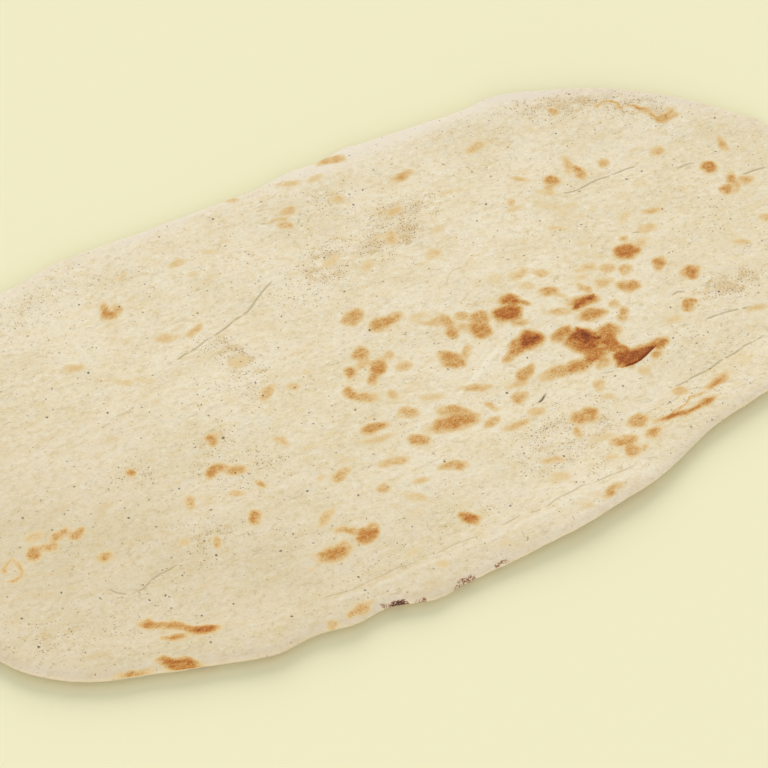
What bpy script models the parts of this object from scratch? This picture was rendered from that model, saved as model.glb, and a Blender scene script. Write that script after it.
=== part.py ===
"""Lavash: one long oval flatbread of soft white dough, lying on its underside, as one solid.

Two grids are drawn out to the oval rim, one for the crust and one for the underside. Their edges
meet at the rim's equator and are welded there, so the sheet closes like a thin pillow. The heights
of both come from a few functions: the edge's rounding, the swollen rim, the low air pockets that
rise in the oven, the troughs that the baker's fingers leave, and the stretches where the rim lifts
off the table. Lengths are millimetres up to the last step, which writes metres.

X runs along the bread, Y across it and Z up. The origin is on the table, at the middle of the box.
"""

import math

import bpy
import numpy as np

MM = 0.001

LENGTH = 445
WIDTH = 254

# The rim seen from above, anticlockwise from the right-hand end. It is centred and sized to the
# length and width above.
RIM_POINTS = [
    (222, 2), (215, 58), (205, 71), (194, 83), (169, 102), (147, 114), (120, 123), (104, 127),
    (84, 124), (28, 123), (13, 119), (-5, 118), (-22, 114), (-51, 112), (-75, 110), (-90, 109),
    (-117, 107), (-140, 100), (-164, 93), (-194, 68), (-218, 23), (-222, -49), (-205, -90),
    (-180, -109), (-154, -116), (-126, -123), (-105, -127), (-87, -124), (-71, -126),
    (-59, -123), (-49, -124), (-38, -127), (-22, -124), (-2, -122), (31, -118), (48, -114),
    (74, -107), (101, -94), (118, -88), (137, -83), (180, -68), (212, -35),
]

# The sheet
CRUMB = 4.8          # thickness away from the rim
EDGE_RADIUS = 4.0    # how far in from the rim the edge's rounding reaches
EDGE_ROWS = 3        # rows of faces that follow the rounding
RIM_SWELL = 1.5      # how much thicker the puffed rim is
SWELL_VARIES = 0.6   # the share by which that changes round the rim
SWELL_LENGTHS = (190, 120, 70)
RIM_CREST = 13       # from the rim to the crest of that swelling
RIM_BAND = 11        # half its width

GRID_LONG = 64       # faces along the bread
GRID_ACROSS = 38     # faces across it

# Low swellings in the crust: x, y, half length, half width, turn in degrees, height.
POCKETS = [
    (92, 6, 46, 22, -14, 2.0),
    (24, 28, 34, 17, -4, 1.5),
    (58, 62, 30, 16, 0, 1.0),
    (-10, -24, 42, 16, 12, 1.3),
    (-92, 8, 38, 20, 10, 1.0),
    (-104, -64, 40, 18, 0, 1.0),
    (-34, 74, 44, 18, 8, 0.9),
    (150, 76, 30, 16, -30, 1.1),
    (158, -22, 30, 17, 12, 1.5),
    (-176, -32, 24, 28, 0, 1.2),
    (30, -70, 40, 15, 10, 1.0),
]

# Troughs pressed into the dough: the points they follow, half width and depth.
TROUGHS = [
    ([(-104, -106), (-46, -102), (12, -98), (62, -82), (104, -62)], 9, 1.3),
    ([(128, -54), (158, -50), (190, -38), (214, -12)], 8, 1.5),
    ([(-70, 8), (-44, 26), (-20, 54), (-10, 78)], 8, 0.9),
    ([(84, 82), (118, 76), (150, 68), (186, 60)], 8, 0.9),
]

# Stretches of rim that lift off the table: direction from the middle, half spread, height.
LIFTS = [
    (-128, 22, 1.8),
    (-68, 26, 3.4),
    (-30, 15, 2.0),
    (35, 24, 2.6),
    (92, 30, 1.6),
    (178, 34, 2.4),
]
LIFT_REACH = 46      # how far in from the rim a lift begins

WAVE = 0.45          # height of the long waves in the crust
WAVE_LENGTHS = (150, 96, 64)
ARCH = 1.1           # how far the underside arches up between the places where it rests
ARCH_LENGTHS = (118, 74)
FLAT_REST = 34       # the underside is flat this far round the middle
SEED = 7


def clear_scene():
    for obj in list(bpy.data.objects):
        bpy.data.objects.remove(obj, do_unlink=True)


def smooth_step(value):
    held = np.clip(value, 0, 1)
    return held * held * (3 - 2 * held)


def closed_curve(points, steps=16):
    """Points on the Catmull-Rom curve that passes through these and closes."""
    knots = np.array(points, float)
    before, after, beyond = (np.roll(knots, shift, 0) for shift in (1, -1, -2))
    t = (np.arange(steps) / steps)[None, :, None]
    before, here, after, beyond = (p[:, None, :] for p in (before, knots, after, beyond))
    curve = 0.5 * (
        2 * here
        + (after - before) * t
        + (2 * before - 5 * here + 4 * after - beyond) * t**2
        + (3 * here - before - 3 * after + beyond) * t**3
    )
    return curve.reshape(-1, 2)


def rim_curve():
    """The rim, centred on its box and drawn to the bread's length and width."""
    curve = closed_curve(RIM_POINTS)
    low, high = curve.min(axis=0), curve.max(axis=0)
    return (curve - (low + high) / 2) * (LENGTH, WIDTH) / (high - low)


def rim_radius(angle):
    """The distance from the middle to the rim in each direction, in radians."""
    curve = rim_curve()
    directions = np.arctan2(curve[:, 1], curve[:, 0])
    order = np.argsort(directions)
    return np.interp(
        angle, directions[order], np.hypot(curve[order, 0], curve[order, 1]), period=2 * math.pi
    )


def drawn_out(grid):
    """Where the points of a grid from -1 to 1 lie on the oval, and how far each lies round the
    edge: 0 on the sheet and 1 at the rim's equator. The last rows keep to rings, one for each
    step round the edge, and the rows inside them share out the rest."""
    steps = np.abs(grid[:, :2]) * (GRID_LONG / 2, GRID_ACROSS / 2)
    inner = np.array([GRID_LONG / 2 - EDGE_ROWS, GRID_ACROSS / 2 - EDGE_ROWS])
    ring = np.clip((steps - inner).max(axis=1), 0, EDGE_ROWS)
    u, v = (np.sign(grid[:, :2]) * steps / (inner + ring[:, None])).T
    long_way = u * np.sqrt(1 - v * v / 2) * LENGTH / 2
    wide_way = v * np.sqrt(1 - u * u / 2) * WIDTH / 2
    out = np.hypot(long_way / (LENGTH / 2), wide_way / (WIDTH / 2))
    angle = np.arctan2(wide_way, long_way)
    oval = np.hypot(long_way, wide_way) / np.maximum(out, 1e-9)
    sheet_edge = rim_radius(angle) - EDGE_RADIUS
    round_edge = ring / EDGE_ROWS
    radius = out * (oval + (sheet_edge - oval) * out**2)
    radius += EDGE_RADIUS * np.sin(round_edge * math.pi / 2)
    return radius * np.cos(angle), radius * np.sin(angle), round_edge


def along(x, y, route):
    """How far each point lies from a line of points."""
    nearest = np.full(x.shape, np.inf)
    for (ax, ay), (bx, by) in zip(route, route[1:]):
        step = np.array([bx - ax, by - ay], float)
        share = np.clip(((x - ax) * step[0] + (y - ay) * step[1]) / (step @ step), 0, 1)
        nearest = np.minimum(nearest, np.hypot(x - ax - share * step[0], y - ay - share * step[1]))
    return nearest


def waves(x, y, lengths, seed):
    """A sum of long waves in directions and phases drawn from the seed, about -1 to 1."""
    draw = np.random.default_rng(seed)
    total = np.zeros(x.shape)
    for length in lengths:
        heading, phase = draw.uniform(0, math.pi), draw.uniform(0, 2 * math.pi)
        total += np.sin(2 * math.pi * (x * math.cos(heading) + y * math.sin(heading)) / length + phase)
    return total / len(lengths)


def to_rim(x, y):
    return rim_radius(np.arctan2(y, x)) - np.hypot(x, y)


def underside_height(x, y):
    """The table is 0. The sheet rests flat round its middle, arches a little and lifts at the rim."""
    direction = np.degrees(np.arctan2(y, x))
    near_rim = smooth_step(1 - to_rim(x, y) / LIFT_REACH)
    lift = np.zeros(x.shape)
    for towards, spread, height in LIFTS:
        off = (direction - towards + 180) % 360 - 180
        lift += height * np.exp(-((off / spread) ** 2))
    arch = ARCH * np.clip(waves(x, y, ARCH_LENGTHS, SEED + 1), 0, 1)
    arch *= smooth_step(np.hypot(x, y) / FLAT_REST - 1)
    return lift * near_rim + arch * (1 - near_rim)


def crust_height(x, y):
    """The underside's height and the dough's thickness over it."""
    from_rim = to_rim(x, y)
    inside = smooth_step(from_rim / RIM_CREST)
    swell = RIM_SWELL * (1 + SWELL_VARIES * waves(x, y, SWELL_LENGTHS, SEED + 2))
    thick = CRUMB + swell * np.exp(-(((from_rim - RIM_CREST) / RIM_BAND) ** 2))
    thick += WAVE * waves(x, y, WAVE_LENGTHS, SEED) * inside
    for px, py, half_long, half_wide, turn, height in POCKETS:
        c, s = math.cos(math.radians(turn)), math.sin(math.radians(turn))
        lengthwise = ((x - px) * c + (y - py) * s) / half_long
        crosswise = ((y - py) * c - (x - px) * s) / half_wide
        thick += height * np.exp(-(lengthwise**2) - crosswise**2) * inside
    for route, half_wide, depth in TROUGHS:
        thick -= depth * np.exp(-((along(x, y, route) / half_wide) ** 2)) * inside
    return underside_height(x, y) + thick


def add_grid(name, upwards):
    """One face of the sheet, as a grid drawn out to the rim and raised to its heights."""
    bpy.ops.mesh.primitive_grid_add(x_subdivisions=GRID_LONG, y_subdivisions=GRID_ACROSS, size=2)
    obj = bpy.context.object
    obj.name = name
    points = np.empty(len(obj.data.vertices) * 3)
    obj.data.vertices.foreach_get("co", points)
    grid = points.reshape(-1, 3)
    x, y, round_edge = drawn_out(grid)
    crust, under = crust_height(x, y), underside_height(x, y)
    middle = (crust + under) / 2
    half = (crust - under) / 2 * np.cos(round_edge * math.pi / 2)
    grid[:, 0], grid[:, 1] = x, y
    grid[:, 2] = middle + half if upwards else middle - half
    obj.data.vertices.foreach_set("co", (grid * MM).ravel())
    return obj


def dough_material():
    material = bpy.data.materials.new("baked_dough")
    material.use_nodes = True
    shader = material.node_tree.nodes["Principled BSDF"]
    shader.inputs["Base Color"].default_value = (0.80, 0.68, 0.47, 1)
    shader.inputs["Roughness"].default_value = 0.75
    shader.inputs["Metallic"].default_value = 0
    return material


def weld(pieces, name):
    """The grids joined into one mesh, closed at the rim, with its faces pointing out."""
    bpy.ops.object.select_all(action="DESELECT")
    for piece in pieces:
        piece.select_set(True)
    bpy.context.view_layer.objects.active = pieces[0]
    bpy.ops.object.join()
    obj = bpy.context.object
    obj.name = name
    bpy.ops.object.mode_set(mode="EDIT")
    bpy.ops.mesh.select_all(action="SELECT")
    bpy.ops.mesh.remove_doubles(threshold=0.01 * MM)
    bpy.ops.mesh.normals_make_consistent(inside=False)
    bpy.ops.object.mode_set(mode="OBJECT")
    obj.data.shade_smooth()
    return obj


def build():
    clear_scene()
    lavash = weld([add_grid("crust", True), add_grid("underside", False)], "lavash")
    lavash.data.materials.append(dough_material())
    parts = bpy.data.collections.new("lavash")
    bpy.context.scene.collection.children.link(parts)
    for home in list(lavash.users_collection):
        home.objects.unlink(lavash)
    parts.objects.link(lavash)


build()
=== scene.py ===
# %% [markdown]
# # A lavash, from plain solid to baked bread
#
# A lavash is one sheet of soft white dough, pulled out by hand to a long oval and baked in a few
# minutes on a very hot floor. The solid already has its outline, its swollen rim, its low pockets
# and its troughs. What is still missing is all that the oven and the baker's hands leave on the
# skin: blisters, thin creases, fine wrinkles, and above all the brown scorch marks. This lesson
# first works out where they lie, then presses them into the mesh, and last gives them colour.

# %% Load the solid bread
import math

import bpy
import numpy as np
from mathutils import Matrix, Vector, noise


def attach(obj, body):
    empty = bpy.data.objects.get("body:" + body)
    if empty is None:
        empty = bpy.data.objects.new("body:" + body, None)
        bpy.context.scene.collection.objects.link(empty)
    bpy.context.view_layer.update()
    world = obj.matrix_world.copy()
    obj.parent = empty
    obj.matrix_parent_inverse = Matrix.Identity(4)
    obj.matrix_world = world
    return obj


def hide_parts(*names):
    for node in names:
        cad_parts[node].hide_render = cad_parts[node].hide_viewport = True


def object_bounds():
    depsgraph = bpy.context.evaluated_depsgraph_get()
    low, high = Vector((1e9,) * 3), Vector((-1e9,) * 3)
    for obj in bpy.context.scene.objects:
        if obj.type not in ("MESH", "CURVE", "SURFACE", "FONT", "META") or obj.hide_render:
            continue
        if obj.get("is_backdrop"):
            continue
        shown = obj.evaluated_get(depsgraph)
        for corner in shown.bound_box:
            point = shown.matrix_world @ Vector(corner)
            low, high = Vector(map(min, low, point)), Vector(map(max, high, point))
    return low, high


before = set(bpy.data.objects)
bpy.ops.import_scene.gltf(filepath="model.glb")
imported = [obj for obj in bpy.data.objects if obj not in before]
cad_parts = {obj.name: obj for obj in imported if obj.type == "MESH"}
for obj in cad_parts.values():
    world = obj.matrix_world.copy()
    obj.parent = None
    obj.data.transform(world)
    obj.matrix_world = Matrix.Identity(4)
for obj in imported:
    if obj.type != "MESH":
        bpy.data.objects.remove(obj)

MM = 0.001
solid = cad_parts["lavash"]
cad_box = [list(corner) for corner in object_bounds()]
cad_size = [(high - low) / MM for low, high in zip(*cad_box)]
print("The solid bread is %.0f by %.0f by %.1f mm" % tuple(cad_size))

# %% [markdown]
# ## One closed skin to work on
#
# The solid is a bag of loose triangles, and it is never edited itself. A copy is, once its
# corners are welded. Pairs of triangles are turned back into the squares that they came from,
# because Subdivision Surface rounds squares evenly and leaves pinches on triangles.

# %% Weld a copy of the solid into squares
WELD = 0.02 * MM
SAME_PLANE = math.radians(40)
ANY_SHAPE = math.radians(180)


def deselect_all():
    bpy.ops.object.select_all(action="DESELECT")


def edit_alone(obj):
    """Opens one piece in edit mode, with all of it selected."""
    deselect_all()
    obj.select_set(True)
    bpy.context.view_layer.objects.active = obj
    bpy.ops.object.mode_set(mode="EDIT")
    bpy.ops.mesh.select_all(action="SELECT")


bread = bpy.data.objects.new("lavash_bread", solid.data.copy())
bpy.context.scene.collection.objects.link(bread)
bread.data.materials.clear()
edit_alone(bread)
bpy.ops.mesh.remove_doubles(threshold=WELD)
bpy.ops.mesh.tris_convert_to_quads(face_threshold=SAME_PLANE, shape_threshold=ANY_SHAPE)
bpy.ops.object.mode_set(mode="OBJECT")
squares = sum(len(face.vertices) == 4 for face in bread.data.polygons)
print("Welded copy:", len(bread.data.polygons), "faces, of which", squares, "squares")

# %% [markdown]
# ## Enough faces for a baked skin
#
# A crease is only a millimetre or two wide, so the faces have to be about that small. One round
# of Subdivision Surface rounds the whole bread. After that only the crust, the side that is seen,
# is cut finer still. The underside stays coarse, which keeps the piece light, and a few rounds of
# smoothing take out the last flats between the cuts.

# %% Round the bread and cut its crust finer
CRUST_CUTS = 2
SMOOTHING_ROUNDS = 3


def apply_modifier(obj, kind, **settings):
    """Adds a modifier, sets it and applies it."""
    deselect_all()
    obj.select_set(True)
    bpy.context.view_layer.objects.active = obj
    modifier = obj.modifiers.new(kind.title(), kind)
    for name, value in settings.items():
        setattr(modifier, name, value)
    bpy.ops.object.modifier_apply(modifier=modifier.name)


def triangles(obj):
    return sum(len(face.vertices) - 2 for face in obj.data.polygons)


apply_modifier(bread, "SUBSURF", levels=1, render_levels=1)
normals = np.empty(len(bread.data.polygons) * 3)
bread.data.polygons.foreach_get("normal", normals)
edit_alone(bread)
bpy.ops.mesh.select_all(action="DESELECT")
bpy.ops.mesh.select_mode(type="FACE")
bpy.ops.object.mode_set(mode="OBJECT")
bread.data.polygons.foreach_set("select", normals[2::3] > 0)
bpy.ops.object.mode_set(mode="EDIT")
bpy.ops.mesh.subdivide(number_cuts=CRUST_CUTS)
bpy.ops.mesh.select_all(action="SELECT")
bpy.ops.mesh.vertices_smooth(factor=0.5, repeat=SMOOTHING_ROUNDS)
bpy.ops.object.mode_set(mode="OBJECT")
print("Finer skin:", triangles(bread), "triangles")

# %% [markdown]
# ## Where every point of the skin lies
#
# The marks are placed by where they are on the bread: how far along it, how far across, and how
# far in from the rim. These few arrays hold that for every point, in millimetres. The rim is
# read off the mesh itself, as the outermost point in each direction from the middle.

# %% Measure the skin
DIRECTIONS = 1440          # the rim is read off in this many directions from the middle
CRUST_FACES = (0.0, 0.35)  # how far up the skin faces where the crust starts and where it is full


def places(obj):
    """Every point of a piece, in millimetres."""
    found = np.empty(len(obj.data.vertices) * 3)
    obj.data.vertices.foreach_get("co", found)
    return found.reshape(-1, 3).T / MM


def facing_up(obj):
    """How far every point of a piece faces up: 1 on the crust, 0 at the rim and -1 below."""
    found = np.empty(len(obj.data.vertices) * 3)
    obj.data.vertices.foreach_get("normal", found)
    return found[2::3]


def smooth_step(value, start=0.0, end=1.0):
    held = np.clip((value - start) / (end - start), 0, 1)
    return held * held * (3 - 2 * held)


def distance_from_rim(x, y):
    """How far in from the outline each point lies."""
    which = ((np.arctan2(y, x) / (2 * math.pi) % 1) * DIRECTIONS).astype(int) % DIRECTIONS
    reach = np.zeros(DIRECTIONS)
    np.maximum.at(reach, which, np.hypot(x, y))
    found = np.nonzero(reach)[0]
    angle = (np.arange(DIRECTIONS) + 0.5) / DIRECTIONS * 2 * math.pi
    reach = np.interp(angle, angle[found], reach[found], period=2 * math.pi)
    rim = np.stack([reach * np.cos(angle), reach * np.sin(angle)], axis=1)
    nearest = [np.hypot(rim[:, 0] - a, rim[:, 1] - b).min() for a, b in zip(x, y)]
    return np.array(nearest)


x, y, z = places(bread)
crust = smooth_step(facing_up(bread), *CRUST_FACES)
from_rim = distance_from_rim(x, y)
print("Skin points:", len(x), "and the thickest place is %.1f mm high" % z.max())

# %% [markdown]
# ## The scorch marks
#
# Where the dough touches the hot stone, or a bubble rises into the heat, the crust turns golden,
# then brown, then nearly black. Each mark is an oval that leans its own way, and neighbours run
# together into ragged groups. They could be painted by hand, but a short list of ovals says the
# same and can be changed one at a time. Each row gives the middle, the length and the width in
# millimetres, the turn in degrees, and how far it has browned, from 0.25, straw, to 1.15, dark.

# %% List the scorch marks
SCORCH = {
    "the dark group right of the middle": [
        (70, -20, 10, 5.5, 18, 0.75), (67, -20, 4, 2.5, 49, 0.5), (77, -28, 17, 13, -30, 0.95),
        (78, -27, 11, 6.5, -54, 0.93), (89, -27, 11, 6.5, -9, 0.75), (87, -33, 12, 8, -87, 0.93),
        (90, -40, 8, 5, 88, 0.85), (78, -37, 13, 7, 13, 0.9), (64, -39, 22, 5.5, -1, 0.58),
        (67, -39, 10, 7, 5, 0.56), (79, -42, 6, 3, 27, 0.5), (90, -44, 10, 6.5, 73, 0.85),
        (107, -42, 5, 3.5, 20, 0.8), (103, -47, 5, 3, 21, 0.6),
    ],
    "its neighbours on the left": [
        (56, -18, 12, 10, 8, 1.15), (50, -19, 12, 7.5, 25, 0.74), (44, -23, 7, 4, 33, 0.52),
        (57, 6, 9, 7, -31, 0.95), (62, 2, 4, 2, -23, 0.8), (53, -1, 13, 9.5, -21, 1.0),
        (56, -8, 4, 2, -7, 0.65), (22, 7, 9, 2, -23, 0.4), (27, 5, 8, 4, -71, 0.58),
        (26, -1, 6, 4.7, -68, 0.7), (34, 6, 5, 4.7, -14, 0.52), (41, 2, 8, 5.8, -21, 0.68),
        (38, -4, 11, 9, -45, 0.74), (33, -1, 6, 5, -21, 0.42), (46, -34, 11, 5.4, 28, 0.62),
        (41, -38, 8, 3.2, 5, 0.35), (20, -15, 13, 9.3, -41, 0.66), (28, -13, 5, 2.3, 66, 0.4),
        (23, -33, 9, 2.6, -19, 0.5), (38, -45, 6, 3.5, 25, 0.5),
    ],
    "the scatter above it": [
        (117, 12, 12, 9.5, -5, 0.9), (127, 0, 8, 6.5, 30, 0.7), (112, 2, 6, 5, 20, 0.45),
        (105, 6, 6, 5, -15, 0.4), (98, 10, 5, 3.5, -40, 0.35), (68, 18, 8, 3.5, 25, 0.35),
        (77, 15, 6, 3.5, -30, 0.4), (99, -1, 7, 4, -20, 0.4), (108, -7, 9, 7, -5, 0.65),
        (75, 3, 8, 4, -15, 0.65), (90, -1, 5, 2.5, -45, 0.5), (87, -8, 13, 6.5, 4, 0.82),
        (98, -14, 4, 3.5, 55, 0.4), (74, -9, 9, 3, -20, 0.4), (86, -16, 11, 5, -5, 0.72),
        (99, -21, 6, 4, 50, 0.55), (138, -10, 9, 6.5, 15, 0.75), (129, -26, 5, 4.5, 55, 0.7),
        (127, -29, 5, 4, -10, 0.55), (120, 20, 4, 3.5, -15, 0.5),
    ],
    "the right end": [
        (93, -53, 5, 4, -15, 0.25), (118, -71, 11, 3, 15, 0.48), (103, -69, 5, 3.5, -30, 0.45),
        (92, -81, 9, 2.6, 0, 0.85), (98, -82, 7, 1.5, -5, 0.5), (108, -80, 8, 3.5, 5, 0.55),
        (154, -40, 6, 2, 0, 0.35), (59, -66, 12, 8, -2, 0.64), (62, -64, 6, 3.4, -19, 0.58),
        (52, -73, 5, 4.2, 58, 0.48), (72, -52, 5, 4, 55, 0.35), (79, -77, 10, 7, 10, 0.6),
        (68, -85, 10, 6.8, -20, 0.6), (68, -91, 7, 5.3, 74, 0.6), (73, -92, 3, 2, 8, 0.4),
        (81, -86, 6, 4.3, 29, 0.62), (51, -108, 6, 2.5, 20, 0.6),
    ],
    "the middle": [
        (10, -42, 12, 4.7, -30, 0.62), (7, -47, 22, 8, -3, 0.7), (25, -45, 4, 1.8, -51, 0.55),
        (-11, -50, 9, 6, -15, 0.6), (-26, -37, 10, 4.5, 5, 0.7), (-27, -43, 9, 2, -5, 0.35),
        (-9, -35, 8, 4.5, -15, 0.5), (-24, -56, 11, 3.5, -10, 0.4), (-48, -54, 8, 4.5, 20, 0.55),
        (-3, -68, 10, 4.6, -16, 0.55), (-19, -70, 5, 2.5, -5, 0.35), (-34, -67, 4, 4, 70, 0.5),
        (21, -53, 7, 3.2, 23, 0.5), (30, -59, 9, 3.4, 4, 0.45), (41, -55, 6, 3.5, 5, 0.35),
        (36, -82, 6, 2, -15, 0.4), (-10, 24, 10, 7.5, 25, 0.6), (2, 16, 15, 6.5, 10, 0.65),
        (-15, 4, 8, 7.5, 70, 0.6), (-23, -4, 7, 5.5, 45, 0.68), (-16, -2, 6, 4, 10, 0.4),
        (-11, -7, 12, 6, 40, 0.7), (-16, -12, 5, 4.5, 70, 0.6), (-1, -10, 6, 4.5, 5, 0.4),
        (-3, -2, 3, 3, 65, 0.4), (-28, -15, 6, 6, -30, 0.72), (-23, -20, 9, 4, -35, 0.6),
        (-12, -23, 4, 3, 65, 0.45), (-60, -1, 8, 4, 40, 0.5), (-49, -2, 5, 3, -25, 0.4),
        (-64, -28, 6, 3, -50, 0.4),
    ],
    "the near side": [
        (-50, -88, 10, 7, 10, 0.8), (-46, -85, 5, 4, 70, 0.48), (-56, -83, 7, 2.5, -25, 0.6),
        (-66, -91, 14, 7.5, -5, 0.7), (-62, -89, 5, 4, 10, 0.5), (-8, -95, 8, 6.5, -60, 0.85),
        (-62, -73, 9, 3.5, 40, 0.35), (-146, -94, 6, 3, -25, 0.7), (-127, -106, 9, 3.4, -10, 0.9),
        (-139, -105, 6, 2, -25, 0.75), (-67, -121.3, 9, 3.5, 14, 0.52), (-80, -123, 3, 2, 0, 0.42),
        (-142, -117, 14, 4, -25, 0.86), (-160, -114, 8, 2, -10, 0.6),
    ],
    "the left end": [
        (-89, -62, 7, 5, 65, 0.75), (-96, -32, 7, 4.5, 45, 0.8), (-92, -31, 4, 3.5, 80, 0.6),
        (-87, -35, 8, 4, -5, 0.6), (-90, -16, 6, 5, 75, 0.65), (-91, -47, 5, 2.5, -15, 0.35),
        (-111, -44, 6, 3.5, 70, 0.45), (-80, -46, 4, 3.5, 75, 0.55), (-108, -67, 4, 3, 75, 0.5),
        (-127, -19, 3, 3, 85, 0.8), (-152, -56, 6, 4, -15, 0.5), (-178, -44, 7, 5, 45, 0.7),
        (-171, -43, 5, 3, 5, 0.5), (-165, -39, 6, 2.5, 30, 0.6), (-159, -41, 6, 4, 25, 0.65),
        (-109, 70, 8, 4, 70, 0.7), (-107, 67, 5, 4, -30, 0.6), (-103, 69, 4, 3, 75, 0.5),
        (-76, 44, 7, 3, 20, 0.45),
    ],
    "the far side": [
        (-13, 94, 6, 3, 0, 0.4), (-17, 87, 6, 3.5, -25, 0.45), (44, 95, 9, 3.5, 5, 0.55),
        (32, 76, 6, 3.5, 10, 0.4), (25, 62, 7, 4, 65, 0.4), (82, 99, 9, 3.5, 15, 0.4),
        (106, 66, 8, 6.5, -20, 0.68), (103, 62, 4, 3.5, 60, 0.4), (117, 73, 8, 3, 65, 0.45),
        (120, 66, 10, 4.5, -80, 0.6), (133, 67, 4, 3, 60, 0.5), (93, 73, 5, 2, -30, 0.45),
        (159, 64, 6, 5, 0, 0.4), (176, 45, 8, 7.5, -85, 0.8), (182, 35, 6, 3, 60, 0.65),
        (177, 30, 5, 4.5, 45, 0.7), (182, 30, 6, 2.5, 60, 0.42), (189, 56, 7, 3, 90, 0.45),
        (188, 32, 6, 4, -35, 0.5), (185, 7, 4, 3.5, 30, 0.38), (140, 31, 6, 2.5, -10, 0.45),
        (168, -2, 6, 2.5, -20, 0.35), (83, 60, 4, 3.5, 45, 0.35), (17, 116, 11, 4, -5, 0.5),
        (171, 80, 9, 4, -5, 0.6), (175, 83, 4, 3, 60, 0.3), (163, 89, 6, 2, -55, 0.5),
        (125, 104, 3, 3, 60, 0.55),
    ],
}
print("Scorch marks:", {area: len(marks) for area, marks in SCORCH.items()})

# %% [markdown]
# ## How brown each point is
#
# One number for every point, from 0, pale dough, to above 1, dark brown. A mark is brownest well
# inside its edge and fades to nothing over a couple of millimetres. Real marks are never clean
# ovals, so the points are first pushed about by smooth noise of two sizes, more along the bread
# than across it, as the dough was stretched that way. Where marks overlap the browner one wins,
# with a soft join. Small faint marks are added to the listed ones, in places drawn from a seed.

# %% Work out the browning
STROKES = [   # marks that are lines: the points that they follow, the width and the browning
    ([(-147, -94), (-144, -96), (-139, -98), (-135, -101), (-132, -105), (-127, -106)], 2.6, 0.66),
    ([(-192, -48), (-190, -44), (-187, -43), (-185, -47), (-185, -51), (-188, -54), (-191, -53)], 0.9, 0.5),
    ([(144, 98), (149, 101), (152, 100), (154, 98), (154, 94), (157, 94), (161, 93), (162, 89)], 0.5, 0.92),
    ([(162, 89), (165, 87), (166, 83), (168, 79), (171, 79), (176, 82)], 0.9, 0.55),
    ([(87, -81), (94, -82), (101, -82), (111, -80)], 1.3, 0.8),
    ([(114, -73), (122, -71)], 1.8, 0.6),
    ([(91, -79), (99, -77), (104, -74), (110, -75)], 0.5, 0.7),
    ([(82, -10), (87, -8), (92, -6)], 1.4, 1.1),
    ([(-24, 91), (-16, 91)], 1.0, 0.4),
    ([(78, -21), (79, -24), (80, -27), (83, -29)], 0.8, 1.35),
]
DRIFTS = [(6.0, 1.9, 1.3), (2.5, 0.9, 0.6)]   # size of the noise, how far it moves along and across
NOISE_LAYER = 17.3        # how far apart two layers of the noise are taken
THIN_FADE = 0.6           # the thinnest mark starts this far outside its edge, and is full this far in
WIDER_FADE = 0.6          # a wider one starts further out, by this share of its width
FADE_OUTSIDE = 1.7        # but no mark starts further out than this
FULL_INSIDE = 0.45        # it is full this share of the way in to its middle
MOST_INSIDE = 2.0         # or this many millimetres in, if that is less
LOOKS_BROWN = 0.3         # for the share that is printed
FAINT_MARKS = 95
FAINT_WITHIN = 0.85       # they keep to this share of the oval's area
FAINT_LENGTHS = (3, 9)
FAINT_WIDTHS = (0.3, 0.7)   # as a share of the length
FAINT_TURNS = (-40, 30)
FAINT_BROWNED = (0.10, 0.32)
SEED = 11


def noise_at(x, y, size, layer):
    """Smooth noise from -1 to 1 in lumps of about this size, another pattern for each layer."""
    return np.array([noise.noise((a, b, NOISE_LAYER * layer)) for a, b in zip(x / size, y / size)])


def inside_oval(x, y, mid_x, mid_y, length, width, turn):
    """About how many millimetres inside an oval each point lies, and less than 0 outside."""
    c, s = math.cos(math.radians(turn)), math.sin(math.radians(turn))
    along = ((x - mid_x) * c + (y - mid_y) * s) / (length / 2)
    across = ((y - mid_y) * c - (x - mid_x) * s) / (width / 2)
    return (1 - np.hypot(along, across)) * width / 2


def beside_line(x, y, route):
    """How far off a line each point lies, less than 0 on its right, and how far from its ends."""
    off = np.full(len(x), np.inf)
    side = np.ones(len(x))
    for (ax, ay), (bx, by) in zip(route, route[1:]):
        dx, dy = bx - ax, by - ay
        share = np.clip(((x - ax) * dx + (y - ay) * dy) / (dx * dx + dy * dy), 0, 1)
        here = np.hypot(x - ax - share * dx, y - ay - share * dy)
        closer = here < off
        off[closer] = here[closer]
        side[closer] = np.sign(dx * (y - ay) - dy * (x - ax))[closer]
    ends = [np.hypot(x - ex, y - ey) for ex, ey in (route[0], route[-1])]
    return side * off, np.minimum(*ends)


def faint_marks(count):
    """Small straw-coloured marks in places drawn from the seed, on all but the outermost skin."""
    draw = np.random.default_rng(SEED)
    half_long, half_wide = cad_size[0] / 2, cad_size[1] / 2
    for _ in range(count):
        angle, out = draw.uniform(0, 2 * math.pi), math.sqrt(draw.uniform(0, FAINT_WITHIN))
        length = draw.uniform(*FAINT_LENGTHS)
        yield (
            out * half_long * math.cos(angle), out * half_wide * math.sin(angle), length,
            length * draw.uniform(*FAINT_WIDTHS), draw.uniform(*FAINT_TURNS),
            draw.uniform(*FAINT_BROWNED),
        )


def mark(depth, width, browned):
    """How browned each point is by one mark of this width, from how deep inside it lies."""
    fade = min(THIN_FADE + WIDER_FADE * width, FADE_OUTSIDE)
    full = min(max(FULL_INSIDE * width / 2, THIN_FADE), MOST_INSIDE)
    return browned * smooth_step(depth, -fade, full)


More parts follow.
